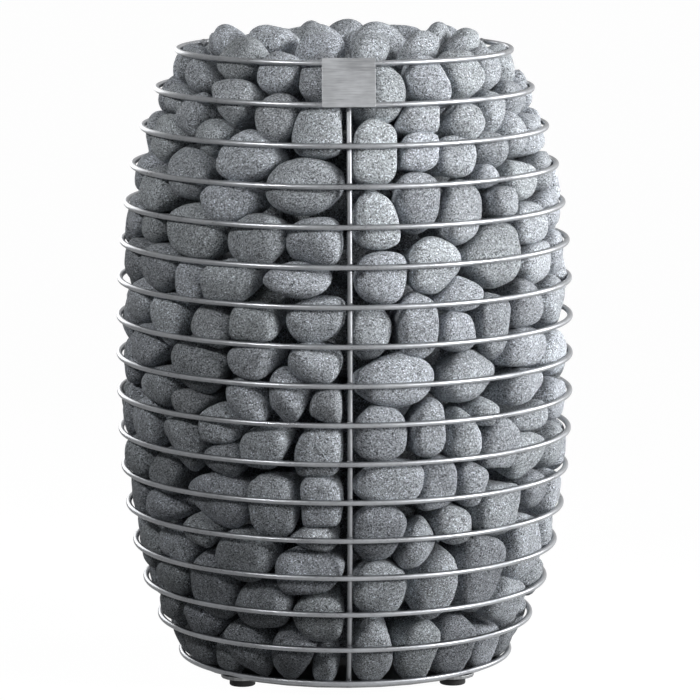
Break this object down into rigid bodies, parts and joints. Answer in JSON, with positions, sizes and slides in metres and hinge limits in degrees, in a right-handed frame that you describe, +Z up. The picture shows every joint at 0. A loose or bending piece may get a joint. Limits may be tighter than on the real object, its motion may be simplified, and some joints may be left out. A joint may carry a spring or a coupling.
{
  "type": "sauna heater stove",
  "caption": "Free-standing electric sauna heater: barrel-shaped cage of welded steel rings filled with rounded stones around tubular elements, on screw-adjusted feet.",
  "frame": {"origin": "on the floor, under the middle of the heater", "axes": "+Z up, -Y to the front where the plate is, +X to the right seen from the front"},
  "size_m": [0.41, 0.41, 0.5821],
  "materials": {
    "cage_steel": "satin stainless rod and sheet",
    "base_steel": "plain stainless sheet, duller than the cage",
    "element_steel": "dark, heat-stained tube",
    "stone": "rough, speckled grey stone",
    "rubber": "matte black",
    "ceramic": "white glazed block"
  },
  "bodies": {
    "heater": {"ring_01": "cage_steel", "ring_02": "cage_steel", "ring_03": "cage_steel", "ring_04": "cage_steel", "ring_05": "cage_steel", "ring_06": "cage_steel", "ring_07": "cage_steel", "ring_08": "cage_steel", "ring_09": "cage_steel", "ring_10": "cage_steel", "ring_11": "cage_steel", "ring_12": "cage_steel", "ring_13": "cage_steel", "ring_14": "cage_steel", "ring_15": "cage_steel", "ring_16": "cage_steel", "ring_17": "cage_steel", "rib_front": "cage_steel", "rib_back_right": "cage_steel", "rib_back_left": "cage_steel", "name_plate": "cage_steel", "base_plate": "base_steel", "terminal_box": "base_steel", "box_cover": "base_steel", "cable_grommet": "rubber", "terminal_block": "ceramic", "earth_stud": "base_steel", "heating_element_1": "element_steel", "heating_element_2": "element_steel", "heating_element_3": "element_steel", "stone_layer_1": "stone", "stone_layer_2": "stone", "stone_layer_3": "stone", "stone_layer_4": "stone", "stone_layer_5": "stone", "stone_layer_6": "stone", "stone_layer_7": "stone", "stone_crown_rim": "stone", "stone_crown_top": "stone", "stone_core": "stone"},
    "pad_front_right": {"foot_pad_front_right": "rubber"},
    "stud_front_right": {"foot_stud_front_right": "base_steel"},
    "pad_back_right": {"foot_pad_back_right": "rubber"},
    "stud_back_right": {"foot_stud_back_right": "base_steel"},
    "pad_back_left": {"foot_pad_back_left": "rubber"},
    "stud_back_left": {"foot_stud_back_left": "base_steel"},
    "pad_front_left": {"foot_pad_front_left": "rubber"},
    "stud_front_left": {"foot_stud_front_left": "base_steel"}
  },
  "joints": [
    {"name": "foot_front_right_height", "type": "slide", "parent": "heater", "child": "pad_front_right", "axis": [0, 0, -1], "range_m": [0, 0.005]},
    {"name": "foot_front_right_screw", "type": "hinge", "parent": "pad_front_right", "child": "stud_front_right", "pos_m": [0.09334, -0.09334, 0.006], "axis": [0, 0, -1], "range_deg": [0, 1440]},
    {"name": "foot_back_right_height", "type": "slide", "parent": "heater", "child": "pad_back_right", "axis": [0, 0, -1], "range_m": [0, 0.005]},
    {"name": "foot_back_right_screw", "type": "hinge", "parent": "pad_back_right", "child": "stud_back_right", "pos_m": [0.09334, 0.09334, 0.006], "axis": [0, 0, -1], "range_deg": [0, 1440]},
    {"name": "foot_back_left_height", "type": "slide", "parent": "heater", "child": "pad_back_left", "axis": [0, 0, -1], "range_m": [0, 0.005]},
    {"name": "foot_back_left_screw", "type": "hinge", "parent": "pad_back_left", "child": "stud_back_left", "pos_m": [-0.09334, 0.09334, 0.006], "axis": [0, 0, -1], "range_deg": [0, 1440]},
    {"name": "foot_front_left_height", "type": "slide", "parent": "heater", "child": "pad_front_left", "axis": [0, 0, -1], "range_m": [0, 0.005]},
    {"name": "foot_front_left_screw", "type": "hinge", "parent": "pad_front_left", "child": "stud_front_left", "pos_m": [-0.09334, -0.09334, 0.006], "axis": [0, 0, -1], "range_deg": [0, 1440]}
  ],
  "couplings": [
    {"joint": "foot_front_right_screw", "follows": "foot_front_right_height", "rad_per_m": 5026.5},
    {"joint": "foot_back_right_screw", "follows": "foot_back_right_height", "rad_per_m": 5026.5},
    {"joint": "foot_back_left_screw", "follows": "foot_back_left_height", "rad_per_m": 5026.5},
    {"joint": "foot_front_left_screw", "follows": "foot_front_left_height", "rad_per_m": 5026.5}
  ]
}
